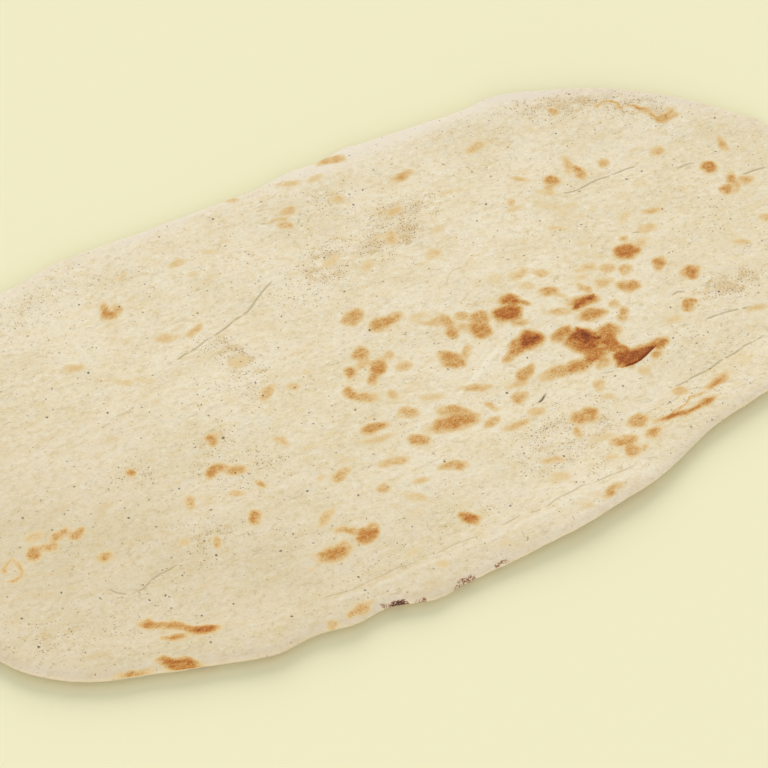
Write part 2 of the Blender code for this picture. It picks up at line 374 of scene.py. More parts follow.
ovals = [oval for area in SCORCH.values() for oval in area] + list(faint_marks(FAINT_MARKS))
drifted_x, drifted_y = x.copy(), y.copy()
for layer, (size, along, across) in enumerate(DRIFTS):
    drifted_x += along * noise_at(x, y, size, 2 * layer + 1)
    drifted_y += across * noise_at(x, y, size, 2 * layer + 2)
total = np.zeros(len(x))
for *oval, browned in ovals:
    total += mark(inside_oval(drifted_x, drifted_y, *oval), oval[3], browned) ** 3
for route, width, browned in STROKES:
    off_line = np.abs(beside_line(drifted_x, drifted_y, route)[0])
    total += mark(width / 2 - off_line, width, browned) ** 3
scorch = total ** (1 / 3) * crust
browned_share = (scorch > LOOKS_BROWN).sum() / (crust > 0.5).sum()
print("Browned share of the crust: %.1f%%" % (100 * browned_share))

# %% [markdown]
# ## Creases and ridges
#
# Pulled dough keeps thin creases, mostly along its length. Three of them run one after another
# along the near side, inside the rim's roll. A crease is a line of points with a strength. For
# every point of the skin the nearest crease is found, and on which side of it the point lies, so
# that both the mesh and the colour can follow it; in the colour a crease is painted dark, as
# painted shade. A ridge is the same kind of line, raised, and painted lighter as a painted highlight.

# %% List the creases and find each point's nearest one
CREASES = [   # the points that it follows, and how strong it is
    ([(-92, 30), (-82, 33), (-74, 37), (-63, 41), (-55, 44), (-47, 48), (-41, 53), (-34, 59)], 1.0),
    ([(105, 57), (115, 57), (128, 59), (142, 60), (149, 59)], 1.1),
    ([(160, 51), (174, 51)], 0.9),
    ([(186, 36), (202, 34)], 1.0),
    ([(-81, -110), (-67, -111), (-56, -109), (-50, -109), (-45, -108), (-34, -108)], 0.55),
    ([(-30, -108), (-20, -106), (-14, -106), (-2, -105)], 0.55),
    ([(0, -105), (10, -104), (19, -104), (29, -102), (39, -101), (55, -100), (68, -100)], 0.65),
    ([(97, -65), (104, -65), (118, -63), (131, -59), (148, -55), (153, -54)], 1.0),
    ([(71, -76), (92, -73), (107, -70), (129, -75)], 0.6),
    ([(128, -38), (140, -37), (153, -38), (162, -41)], 1.0),
    ([(123, -20), (127, -18), (131, -20)], 1.0),
    ([(123, 22), (127, 22), (134, 21)], 0.9),
    ([(31, 21), (40, 31), (50, 32)], 0.5),
    ([(-158, -69), (-153, -74), (-148, -76), (-142, -76), (-134, -72), (-124, -70)], 0.75),
    ([(43, -51), (47, -50), (51, -47)], 1.65),
    ([(74, -46), (79, -47), (84, -48)], 0.6),
    ([(-30, 92), (-18, 90)], 0.7),
    ([(-12, 84), (-7, 93)], 0.7),
]
# In the colour each ridge is painted lighter along its line: a painted highlight.
RIDGES = [
    ([(6, -38), (22, -30), (35, -21), (48, -13)], 1.0),
    ([(-178, 2), (-120, 14), (-70, 18)], 0.5),
    ([(-84, -115), (-50, -113), (-20, -110), (10, -108), (40, -105), (72, -103)], 0.55),
]
CREASE_REACH = 3.0     # a crease changes the skin up to this far to either side
FADES_FROM = 0.6       # and fades over the last of it, from this share of the reach
END_FADE = 5.0         # it fades over this length at its ends, or over a third of a short one
WAVER = 1.2            # how far it strays from its listed points
WAVER_SIZE = 9
CREASE_SHOWS = 0.05    # for the share that is printed

crease_offset = np.full(len(x), CREASE_REACH)   # less than 0 on the right-hand side of the line
crease_depth = np.zeros(len(x))
wavy_x = x + WAVER * noise_at(x, y, WAVER_SIZE, 3)
wavy_y = y + WAVER * noise_at(x, y, WAVER_SIZE, 4)
for route, strength in CREASES:
    offset, from_ends = beside_line(wavy_x, wavy_y, route)
    length = sum(math.dist(a, b) for a, b in zip(route, route[1:]))
    depth = strength * smooth_step(from_ends, 0, min(END_FADE, length / 3))
    closer = (np.abs(offset) < np.abs(crease_offset)) & (np.abs(offset) < CREASE_REACH)
    crease_offset[closer] = offset[closer]
    crease_depth[closer] = depth[closer]
crease_depth *= 1 - smooth_step(np.abs(crease_offset), FADES_FROM * CREASE_REACH, CREASE_REACH)
crease_depth *= crust
creased_share = (crease_depth > CREASE_SHOWS).mean()
print("Creases:", len(CREASES), "over %.1f%% of the skin" % (100 * creased_share))

# %% [markdown]
# ## Pressing the relief into the mesh
#
# Weight painting and a Displace modifier are how this is done by hand: a weight for every point
# says how far it moves along its normal. Blisters rise under the scorch marks, creases sink, three
# low ridges rise, and the one dark crescent is the torn lip of a bubble, high on its upper side
# and cut off sharply below. The weights come from the fields above instead of from a brush.

# %% Raise the blisters and sink the creases
BLISTER_HEIGHT = 0.45
CREASE_SINKS = 0.42
CREASE_HALF_WIDTH = 1.5
RIDGE_HEIGHT = 0.5
RIDGE_HALF_WIDTH = 1.5
RIDGE_END_FADE = 14
LIP_ROUTE = [
    (85.5, -47.8), (89.7, -48.3), (92.9, -47.8), (95.8, -46.9), (98.9, -45.5), (102.2, -43.9),
    (106, -42.4),
]
LIP_HEIGHT = 0.8
LIP_STEP = (-0.3, 0.9)     # the lip rises from the first to the second, across its line
LIP_FADE = 6.0             # and falls off over this much skin behind it
LIP_REACH = 18.0
LIP_END_FADE = 6
LIP_BROWNED = 1.15
LIP_WIDTHS = (10.5, 4.0)   # how wide the browned strip along the lip is, at its left and right end
LIP_BROWN_EDGE = (-0.5, 3.2)    # where the browning fades in, from the edge of the strip,
LIP_BROWN_ENDS = (-1, 3)        # from the ends of the line
LIP_BROWN_LEFT = (-2.5, 1.5)    # and along the bread from its left end
WEIGHT_STEPS = 250         # a weight is rounded to one of this many steps


def paint_weights(obj, name, weights):
    """A vertex group with a weight from 0 to 1 for every point."""
    group = obj.vertex_groups.new(name=name)
    steps = np.round(np.clip(weights, 0, 1) * WEIGHT_STEPS).astype(int)
    for step in np.unique(steps):
        group.add(np.nonzero(steps == step)[0].tolist(), step / WEIGHT_STEPS, "REPLACE")


def displace(obj, name, height, weights, **texture):
    """Moves the skin along its normals by height times each point's weight, and by a texture."""
    paint_weights(obj, name, weights)
    middle = 0.5 if texture else 0.0
    settings = {"strength": height * MM, "mid_level": middle, "vertex_group": name}
    apply_modifier(obj, "DISPLACE", **settings, **texture)
    obj.vertex_groups.remove(obj.vertex_groups[name])


crease_shape = crease_depth * np.exp(-((crease_offset / CREASE_HALF_WIDTH) ** 2))
ridge_shape = np.zeros(len(x))
for route, strength in RIDGES:
    offset, from_ends = beside_line(wavy_x, wavy_y, route)
    fade = strength * smooth_step(from_ends, 0, RIDGE_END_FADE)
    ridge_shape = np.maximum(ridge_shape, fade * np.exp(-((offset / RIDGE_HALF_WIDTH) ** 2)))
lip_offset, from_lip_ends = beside_line(x, y, LIP_ROUTE)
above_lip = np.maximum(lip_offset, 0)
lip_shape = smooth_step(lip_offset, *LIP_STEP) * np.exp(-((above_lip / LIP_FADE) ** 2))
lip_shape *= smooth_step(from_lip_ends, 0, LIP_END_FADE) * (above_lip < LIP_REACH)
along_lip = smooth_step(drifted_x, LIP_ROUTE[0][0], LIP_ROUTE[-1][0])
lip_width = LIP_WIDTHS[0] + (LIP_WIDTHS[1] - LIP_WIDTHS[0]) * along_lip
lip_brown = LIP_BROWNED * smooth_step(lip_width - np.abs(lip_offset), *LIP_BROWN_EDGE)
past_left_end = smooth_step(drifted_x - LIP_ROUTE[0][0], *LIP_BROWN_LEFT)
lip_brown *= smooth_step(from_lip_ends, *LIP_BROWN_ENDS) * past_left_end * crust

displace(bread, "blisters", BLISTER_HEIGHT, scorch)
displace(bread, "creases", -CREASE_SINKS, crease_shape)
displace(bread, "ridges", RIDGE_HEIGHT, ridge_shape * crust)
displace(bread, "lip", LIP_HEIGHT, lip_shape * crust)
print("Relief: blisters to %.2f mm, creases to -%.2f mm" % (BLISTER_HEIGHT, CREASE_SINKS))

# %% [markdown]
# ## Wrinkles and pores
#
# The skin of a soft flatbread is never smooth. It has long shallow wrinkles in the direction of
# the pull, and fine pits where flour and tiny bubbles were. Both are cloud textures on a Displace
# modifier. An empty carries the texture, and its scale is the size of one wrinkle or one pit, so
# the wrinkles come out several times longer than they are wide. The rim gets lumps of its own.

# %% Wrinkle the crust and roughen the rim
WRINKLE_SIZE = (22, 3.6, 6)    # millimetres, and so are the others
WRINKLE_TURN = 4
WRINKLE_HEIGHT = 0.26
WRINKLES_START = (0, 8)        # they grow over this stretch in from the rim
PIT_SIZE = (2.4, 1.9, 3)
PIT_HEIGHT = 0.10
LUMP_SIZE = (9, 9, 5)
LUMP_HEIGHT = 0.8
LUMPS_END = (2, 12)            # and the rim's lumps die away over this one
CLOUD_DETAIL = 2


def cloud(name, size, turn=0.0):
    """A cloud texture whose lumps have this size, carried by an empty, as Displace settings."""
    texture = bpy.data.textures.new(name, "CLOUDS")
    texture.noise_scale = 1
    texture.noise_depth = CLOUD_DETAIL
    carrier = bpy.data.objects.new(name + "_carrier", None)
    bpy.context.scene.collection.objects.link(carrier)
    carrier.scale = Vector(size) * MM
    carrier.rotation_euler.z = math.radians(turn)
    bpy.context.view_layer.update()
    return {"texture": texture, "texture_coords": "OBJECT", "texture_coords_object": carrier}


near_rim = 1 - smooth_step(from_rim, *LUMPS_END)
inside_rim = smooth_step(from_rim, *WRINKLES_START)
wrinkles = cloud("wrinkles", WRINKLE_SIZE, WRINKLE_TURN)
pits = cloud("pits", PIT_SIZE)
lumps = cloud("lumps", LUMP_SIZE)
displace(bread, "wrinkles", WRINKLE_HEIGHT, crust * inside_rim, **wrinkles)
displace(bread, "pits", PIT_HEIGHT, crust, **pits)
displace(bread, "lumps", LUMP_HEIGHT, near_rim, **lumps)
for carried in (wrinkles, pits, lumps):
    bpy.data.objects.remove(carried["texture_coords_object"])
bread.data.shade_smooth()
print("Wrinkled skin: %.1f mm high at most" % places(bread)[2].max())

# %% [markdown]
# ## Telling the material where things are
#
# The colours need the same fields as the relief did. They are stored on the mesh as attributes,
# one number for every point, and the material reads them by name. Besides the scorch, the
# creases, the ridges and the lip there are pepper, where fine burnt flour lies thick, and char,
# the dark nicks of the near rim. Two fields say where the far rim is white with flour or grey,
# and the last three say how near the near left a point lies, how far in from the rim, and
# whether it is on the underside.

# %% Store the fields on the mesh
PEPPER = [   # the middle of a peppery patch, its length and width, its turn and how dense it is
    (34, 76, 30, 12, 0, 1.3), (24, 62, 40, 16, 10, 1.2), (-6, 64, 22, 12, 20, 1.5),
    (-12, 54, 24, 16, 20, 1.1), (-30, 44, 18, 16, 30, 0.6), (8, 92, 18, 16, 60, 0.5),
    (-65, 24, 22, 10, -60, 2.0), (-65, 9, 22, 10, 80, 1.2), (-83, 3, 20, 14, 0, 0.2),
    (-142, 84, 34, 10, 20, 0.5), (-110, 84, 26, 10, 10, 0.2), (-181, -88, 34, 20, -20, 0.5),
    (-160, -88, 26, 22, 0, 0.3), (44, -70, 34, 30, 0, 0.75), (34, -74, 22, 16, 0, 0.6),
    (136, 104, 46, 12, -14, 1.2), (164, 90, 30, 14, -40, 1.4), (104, 108, 40, 10, -6, 0.25),
    (61, -75, 34, 9, 62, 1.0), (118, -46, 26, 9, 10, 0.4), (132, -60, 30, 9, 10, 0.2),
    (150, -24, 26, 12, 10, 1.6), (-133, -76, 40, 12, 10, 0.15), (-90, -17, 18, 14, 0, 0.8),
    (-30, -102, 60, 8, 5, 0.3), (180, -12, 40, 22, 0, 0.15), (156, 18, 30, 14, 0, 0.2),
    (104, -78, 26, 8, 5, 0.7), (-128, -21, 14, 12, 0, 0.9), (-108, -63, 22, 14, 0, 0.8),
    (31, -83, 18, 10, 0, 0.8), (-86, -34, 34, 22, 0, 0.5), (-20, 112, 24, 6, -10, 0.2),
]
CHAR = [   # black and brown nicks of the near rim, listed in the same way
    (-51.5, -124, 8, 3, -10, 0.95), (-48, -125.3, 5, 2, -15, 0.85), (-57, -123.2, 4, 2, -15, 0.5),
    (-44, -125.6, 7, 2.2, 4, 0.52), (-41.5, -126, 2.5, 1.8, 0, 0.75),
    (-22, -123.6, 10, 2.4, 14, 0.56), (-26.5, -124.8, 5, 2, 25, 0.48),
    (-5.5, -121.6, 8, 1.5, 10, 0.66),
]
FLOURED = [   # stretches of the far rim that stay white with flour
    (-150, 98, 110, 18, 20, 0.7), (-60, 112, 120, 14, 6, 0.8), (30, 120, 120, 24, 2, 1.0),
    (100, 124, 80, 18, -4, 1.0), (-205, 60, 60, 20, 40, 0.5),
]
GREYED = [   # and those that look a little grey
    (128, 120, 60, 20, -8, 1.0), (170, 98, 70, 24, -32, 0.8), (205, 66, 50, 20, -55, 0.5),
]
PATCH_EDGE = 6.0          # how softly such a patch starts
NICK_EDGE = 0.9           # and how softly a nick does
# The skin is painted darker towards the near left: partly painted shade, partly the dough's own tone.
SHADE_AND_TONE_TURN = 38            # the skin is darkest at the near left, turned this far from the near side
NEAR_SHADE_AND_TONE = (-170, -10)   # and lightens evenly from the first to the second of these places
MOST_FROM_RIM = 60
UNDERSIDE_FACES = (-0.95, -0.6)   # the underside is full at the first, and ends at the second


def patches(ovals, edge):
    """The strongest of several soft ovals at each point."""
    found = np.zeros(len(x))
    for *oval, strength in ovals:
        depth = inside_oval(drifted_x, drifted_y, *oval)
        found = np.maximum(found, strength * smooth_step(depth, -edge, edge))
    return found


def store(obj, name, values):
    attribute = obj.data.attributes.new(name, "FLOAT", "POINT")
    attribute.data.foreach_set("value", values.astype(np.float32))
    print("Stored %-13s from %.2f to %.2f" % (name, values.min(), values.max()))


toward_far = x * math.sin(math.radians(SHADE_AND_TONE_TURN)) + y * math.cos(math.radians(SHADE_AND_TONE_TURN))
store(bread, "scorch", scorch)
store(bread, "pepper", patches(PEPPER, PATCH_EDGE) * crust)
store(bread, "char", patches(CHAR, NICK_EDGE))
store(bread, "floured", patches(FLOURED, PATCH_EDGE))
store(bread, "greyed", patches(GREYED, PATCH_EDGE))
# darker towards the near left: partly painted shade, partly the dough's own tone
store(bread, "near_shade_and_tone", 1 - smooth_step(toward_far, *NEAR_SHADE_AND_TONE))
store(bread, "crease_offset", crease_offset)
store(bread, "crease_depth", crease_depth)
store(bread, "ridge", ridge_shape)
store(bread, "lip_offset", np.clip(lip_offset, -CREASE_REACH, CREASE_REACH))
store(bread, "lip_brown", lip_brown)
store(bread, "from_rim", np.minimum(from_rim, MOST_FROM_RIM))
store(bread, "underside", 1 - smooth_step(facing_up(bread), *UNDERSIDE_FACES))

# %% [markdown]
# ## Colours and nodes
#
# Colours are written as a screen shows them, and a shader works in linear light, so one small
# function turns the first into the second. Another adds one node with its settings and links,
# which keeps the material below down to a line or two for each of its steps.

# %% Helpers for colours and nodes
def linear(hex_colour):
    """A hex colour as a screen shows it, turned to the linear light that a shader works in."""
    shown = [int(hex_colour[i:i + 2], 16) / 255 for i in (1, 3, 5)]
    return [c / 12.92 if c <= 0.04045 else ((c + 0.055) / 1.055) ** 2.4 for c in shown] + [1]


def add_node(tree, kind, inputs, output=0, **settings):
    """Adds a node with its settings, gives its inputs a value or a link and returns an output."""
    node = tree.nodes.new(kind)
    for name, value in settings.items():
        setattr(node, name, value)
    for socket, value in inputs.items():
        if isinstance(value, bpy.types.NodeSocket):
            tree.links.new(value, node.inputs[socket])
        else:
            node.inputs[socket].default_value = value
    return node.outputs[output]


CREAM = "#E4D6B8"
print("Dough cream in linear light:", [round(c, 3) for c in linear(CREAM)[:3]])

# %% [markdown]
# ## The patterns and layers of the crust
#
# Every pattern is smooth noise, given the real size of its lumps in millimetres: along, across
# and through the bread. Every layer is a colour that is laid over those before it, where one of
# the patterns or stored fields is strong enough. Written as lists, the whole look of the skin can
# be read, and changed, in one place.

# %% List the patterns and the layers of skin
NOISES = {   # the lumps' size in mm, their turn in degrees and how much fine detail they have
    "mottle": ((34, 18, 16), 10, 3),
    "streak": ((13, 2.2, 6), -3, 2),
    "tint": ((5.5, 3.4, 3.5), 5, 2),
    "curd": ((3.1, 2.1, 2.4), -6, 3),
    "grain": ((1.15, 0.75, 0.9), 0, 2),
    "toasting": ((15, 8, 8), 12, 3),
    "ragged": ((2.8, 1.9, 2.2), 8, 3),
    "crumb": ((0.72, 0.58, 0.7), 0, 1),
    "cluster": ((11, 6, 7), 8, 2),
    "vein": ((17, 6.5, 8), -18, 2),
    "dashes": ((5.4, 4.4, 4.2), 0, 2),
}
SKIN_LAYERS = [   # a source, where it starts and is full, the field it keeps to, strength, colour
    ("mottle", 0.56, 0.38, None, 0.55, "#DBCBA5"),
    ("mottle", 0.54, 0.68, None, 0.45, "#E8DBBF"),
    ("streak", 0.52, 0.76, None, 0.22, "#EADFC6"),
    ("streak", 0.46, 0.28, None, 0.20, "#D3C39D"),
    ("tint", 0.52, 0.72, None, 0.42, "#DEC794"),
    ("tint", 0.48, 0.28, None, 0.42, "#DDD3BF"),
    ("curd", 0.50, 0.26, None, 0.42, "#C6B287"),
    ("curd", 0.54, 0.72, None, 0.42, "#EEE6D2"),
    ("grain", 0.50, 0.24, None, 0.26, "#B0905A"),
    ("grain", 0.54, 0.76, None, 0.24, "#F3EBDC"),
    ("toasting", 0.56, 0.76, None, 0.40, "#D9BC87"),
    ("veined", 0.0, 1.0, None, 0.35, "#B39F71"),
    # darker towards the near left: partly painted shade, partly the dough's own tone
    ("near_shade_and_tone", 0.0, 1.0, None, 0.24, "#B8A276"),
    ("from_rim", 5.0, 0.5, None, 0.35, "#DAC9B5"),
    ("floured", 0.0, 1.0, "outer", 0.80, "#E5DAC8"),
    ("greyed", 0.0, 1.0, "outer", 0.45, "#DACEBE"),
    # each ridge is painted lighter along its line: a painted highlight
    ("ridge", 0.1, 0.9, None, 0.6, "#ECE3CD"),
    ("tinged", 0.15, 0.6, None, 0.36, "#C4A063"),
    # each crease is painted dark along its line: painted shade, darkest in the strongest ones
    ("crease", 0.10, 0.90, None, 0.56, "#9C885C"),
    ("crease", 1.15, 1.6, None, 0.85, "#40372C"),
    ("peppered", 0.0, 1.0, None, 0.78, "#77562F"),
]
BURNT_LAYERS = [   # the same, over the scorch marks
    ("speckled", 0.0, 1.0, None, 0.80, "#4A3F34"),
    ("nicked", 0.30, 0.62, None, 0.90, "#8C5C3E"),
    ("nicked", 0.62, 0.90, None, 0.95, "#44302A"),
]
SCORCH_COLOURS = [   # how browned, and the colour that shows
    (0.17, "#DDC699"), (0.31, "#D9BB89"), (0.46, "#D3AF77"), (0.58, "#CBA062"),
    (0.81, "#BF8440"), (1.02, "#AF662B"), (1.20, "#955021"), (1.34, "#763814"),
]
print("Skin:", len(NOISES), "patterns and", len(SKIN_LAYERS) + len(BURNT_LAYERS), "layers")

# %% [markdown]
# ## The baked dough
#
# This is baked white wheat dough: matt, cream and a little floury, so rough that it has no gloss.
# First comes the skin, from the cream and its mottles, streaks, grain and thin veins to the darker
# near side, partly painted shade and partly the dough's own tone, the floury and grey rim, and the
# ridges, painted lighter as a painted highlight. The creases, broken into dashes and painted dark as
# painted shade, and the fine pepper of burnt flour with its brown tinge are part of it. The browning
# covers all of that, ragged at its edge and crumbly inside, and the black specks and the rim's nicks
# lie on top.

# %% Make the baked dough
STORED = [
    "scorch", "pepper", "char", "floured", "greyed", "near_shade_and_tone", "crease_offset",
    "crease_depth", "ridge", "lip_offset", "lip_brown", "from_rim", "underside",
]
MATH = "ShaderNodeMath"
RANGE = "ShaderNodeMapRange"
MIX = "ShaderNodeMix"
BROWNEST = SCORCH_COLOURS[-1][0]
LIP_EDGE = (-0.1, 0.25)       # the lip is browned from the first, and in full from the second
# The lip's outermost strip is browned darker: partly char, partly painted shadow under its step.
LIP_DARK_EDGE = (1.1, 0.2)    # its outermost strip is darker, from the first to the second
LIP_DARKER = 0.35             # by this share
UNDER_TOASTED = (0.52, 0.74)  # where the underside's toasting starts and is full
UNDER_BROWNED = 0.8
TOUCHED = (0.02, 0.5)         # the browning at which the noises below start and are full
UNEVEN = (("ragged", 0.78), ("crumb", 0.85))
BROWN_EDGE = (0.02, 0.22)     # the browning that starts to cover the skin, and that covers it
JITTER_SCALE = 0.9            # lumps for each millimetre in the noise that makes the dots uneven
JITTER = 0.9                  # and how far it moves them, in millimetres
DOT_EDGE = 0.15
FAINTEST_DOT = 0.35
PEPPER_CELL = 0.95            # millimetres, and so are the radii
PEPPER_RADIUS = (0.12, 0.43)
SPECKLE_CHANCE = 0.035        # of a fine dot outside the peppery patches
SPECK_CELL = 8
SPECK_RADIUS = (0.15, 0.66)
SPECK_CHANCE = 0.42
VEIN_LINE = (0.014, 0.004)    # a vein runs where its noise is this near to its middle
VEINS_GATHER = (0.52, 0.62)   # and only where the cluster noise is above these
PEPPER_GATHERS = (2.7, -0.65)   # what the cluster noise is multiplied by, and what is added
# The painted shade of a crease: dark along its line, broken into dashes.
CREASE_LINE = (0.9, 0.05)     # how far off its line a crease starts to show, and is full
CREASE_DASHES = (0.26, 0.46)
OUTER_RIM = (16, 3)           # the rim's flour and grey fade in over this stretch
NICK_UNEVEN = (2.2, -0.1)     # what the crumb noise is multiplied by in a nick, and what is added
GRAIN_BUMP = 0.5              # the grain's share of the bump, beside the curd's
BUMP_STRENGTH = 0.3
BUMP_DEPTH = 0.25             # millimetres


def add_sources(tree):
    """The stored fields and the noises, by name, and the places in millimetres."""
    place = add_node(tree, "ShaderNodeTexCoord", {}, "Object")
    found = {"mm": add_node(tree, "ShaderNodeMapping", {"Vector": place, "Scale": (1 / MM,) * 3})}
    for name in STORED:
        found[name] = add_node(tree, "ShaderNodeAttribute", {}, "Fac", attribute_name=name)
    for name, (size, turn, detail) in NOISES.items():
        placed = {"Vector": found["mm"], "Scale": [1 / s for s in size]}
        placed["Rotation"] = (0, 0, math.radians(turn))
        scaled = add_node(tree, "ShaderNodeMapping", placed)
        smooth = {"Vector": scaled, "Scale": 1, "Detail": detail}
        found[name] = add_node(tree, "ShaderNodeTexNoise", smooth)
    return found


def lay_over(tree, skin, layers, source):
    """Lays each colour over the skin, where its source is strong enough."""
    for name, start, full, kept_to, strength, colour in layers:
        limits = {"Value": source[name], "From Min": start, "From Max": full, "To Max": strength}
        share = add_node(tree, RANGE, limits, interpolation_type="SMOOTHSTEP")
        if kept_to:
            share = add_node(tree, MATH, {0: share, 1: source[kept_to]}, operation="MULTIPLY")
        skin = add_node(tree, MIX, {0: share, 6: skin, 7: linear(colour)}, 2, data_type="RGBA")
    return skin


def add_browning(tree, source):
    """How brown each place is: the stored marks, the lip and the underside, made ragged."""
    above = {"Value": source["lip_offset"], "From Min": LIP_EDGE[0], "From Max": LIP_EDGE[1]}
    above = add_node(tree, RANGE, above)
    lip = add_node(tree, MATH, {0: source["lip_brown"], 1: above}, operation="MULTIPLY")
    # the lip's outermost strip is browned darker: partly char, partly painted shadow under its step
    start, full = LIP_DARK_EDGE
    lip_edge = {"Value": source["lip_offset"], "From Min": start, "From Max": full, "To Max": LIP_DARKER}
    lip_edge = add_node(tree, RANGE, lip_edge)
    lip = add_node(tree, MATH, {0: lip, 1: lip_edge, 2: lip}, operation="MULTIPLY_ADD")
    start, full = UNDER_TOASTED
    under = {"Value": source["toasting"], "From Min": start, "From Max": full, "To Max": UNDER_BROWNED}
    under = add_node(tree, RANGE, under, interpolation_type="SMOOTHSTEP")
    under = add_node(tree, MATH, {0: under, 1: source["underside"]}, operation="MULTIPLY")
    browned = add_node(tree, MATH, {0: source["scorch"], 1: lip}, operation="MAXIMUM")
    browned = add_node(tree, MATH, {0: browned, 1: under}, operation="MAXIMUM")
    touched = {"Value": browned, "From Min": TOUCHED[0], "From Max": TOUCHED[1]}
    touched = add_node(tree, RANGE, touched, interpolation_type="SMOOTHSTEP")
    for name, amount in UNEVEN:
        uneven = add_node(tree, MATH, {0: source[name], 1: 0.5}, operation="SUBTRACT")
        uneven = add_node(tree, MATH, {0: uneven, 1: amount}, operation="MULTIPLY")
        browned = add_node(tree, MATH, {0: uneven, 1: touched, 2: browned}, operation="MULTIPLY_ADD")
    return browned


def lay_scorch(tree, skin, browned):
    """The skin with its marks, from straw at their edge to dark brown."""
    share = add_node(tree, MATH, {0: browned, 1: 1 / BROWNEST}, operation="MULTIPLY")
    colours = add_node(tree, "ShaderNodeValToRGB", {"Fac": share}, "Color")
    stops = colours.node.color_ramp.elements
    while len(stops) < len(SCORCH_COLOURS):
        stops.new(1)
    for stop, (reached, colour) in zip(stops, SCORCH_COLOURS):
        stop.position = reached / BROWNEST
        stop.color = linear(colour)
    edge = {"Value": browned, "From Min": BROWN_EDGE[0], "From Max": BROWN_EDGE[1]}
    edge = add_node(tree, RANGE, edge, interpolation_type="SMOOTHSTEP")
    return add_node(tree, MIX, {0: edge, 6: skin, 7: colours}, 2, data_type="RGBA")


def add_dots(tree, source, chance, cell, radii):
    """Round dots at most one to a cell: the chance that it is there, and its smallest and
    largest radius, in millimetres. Noise makes their outlines uneven."""
    moved = {0: source["jitter"], 1: (JITTER, JITTER, 0), 2: source["mm"]}
    moved = add_node(tree, "ShaderNodeVectorMath", moved, operation="MULTIPLY_ADD")
    placed = add_node(tree, "ShaderNodeMapping", {"Vector": moved, "Scale": (1 / cell,) * 3})
    cells = {"Vector": placed, "Scale": 1}
    away = add_node(tree, "ShaderNodeTexVoronoi", cells, voronoi_dimensions="2D")
    draws = add_node(tree, "ShaderNodeSeparateColor", {"Color": away.node.outputs["Color"]})
    there = add_node(tree, MATH, {0: draws, 1: chance}, operation="LESS_THAN")
    sizes = {"Value": draws.node.outputs[1], "To Min": radii[0] / cell, "To Max": radii[1] / cell}
    radius = add_node(tree, RANGE, sizes)
    deep = add_node(tree, MATH, {0: radius, 1: away}, operation="SUBTRACT")
    deep = add_node(tree, RANGE, {"Value": deep, "From Max": DOT_EDGE / cell})
    deep = add_node(tree, MATH, {0: deep, 1: there}, operation="MULTIPLY")
    shade = add_node(tree, RANGE, {"Value": draws.node.outputs[2], "To Min": FAINTEST_DOT})
    return add_node(tree, MATH, {0: deep, 1: shade}, operation="MULTIPLY")


